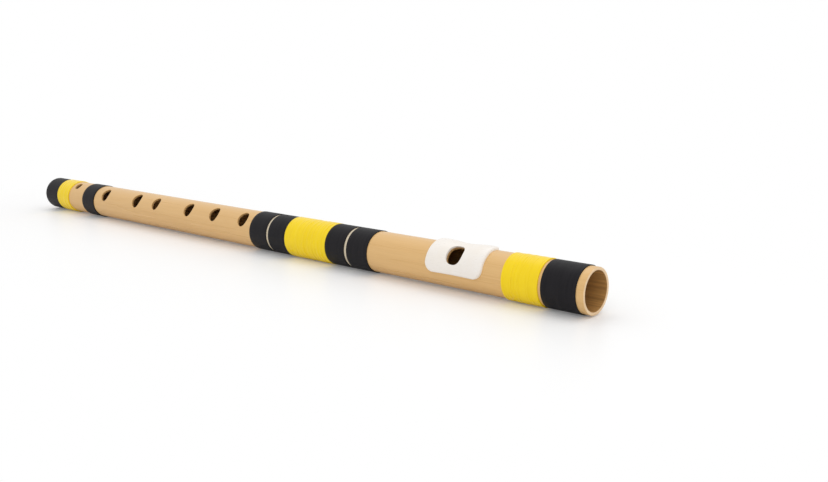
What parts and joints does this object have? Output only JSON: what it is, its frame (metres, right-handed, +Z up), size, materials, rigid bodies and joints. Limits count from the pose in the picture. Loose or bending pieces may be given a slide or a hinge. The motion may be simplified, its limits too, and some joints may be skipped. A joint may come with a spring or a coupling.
{
  "type": "bansuri",
  "caption": "Side-blown cane flute with a saddle-shaped lip plate round its mouth hole, a row of finger holes, a vent hole, bands of wound tape and a cork stopper in its bore.",
  "frame": {"origin": "under the middle of the flute, on the surface that it lies on", "axes": "+X along the flute towards its head end; +Z up; the holes are rolled from the top towards -Y"},
  "size_m": [0.4826, 0.0246, 0.0246],
  "materials": {
    "cane": "smooth satin cane with faint long streaks",
    "white_plastic": "satin white, a little warm at the edges",
    "cork": "rough cork with dark flecks",
    "black_tape": "matt wound tape with crisp edges",
    "yellow_tape": "glossy wound tape with soft edges"
  },
  "bodies": {
    "flute": {"tube": "cane", "lip_plate": "white_plastic", "tape_black_head": "black_tape", "tape_yellow_head_1": "yellow_tape", "tape_yellow_head_2": "yellow_tape", "tape_black_upper_1": "black_tape", "tape_black_upper_2": "black_tape", "tape_yellow_middle_1": "yellow_tape", "tape_yellow_middle_2": "yellow_tape", "tape_yellow_middle_3": "yellow_tape", "tape_yellow_middle_4": "yellow_tape", "tape_black_lower_1": "black_tape", "tape_black_lower_2": "black_tape", "tape_black_foot_1": "black_tape", "tape_yellow_foot": "yellow_tape", "tape_black_foot_2": "black_tape"},
    "stopper": {"stopper": "cork"}
  },
  "joints": [
    {"name": "stopper_slide", "type": "slide", "parent": "flute", "child": "stopper", "axis": [1, 0, 0], "range_m": [-0.004, 0.006]}
  ]
}
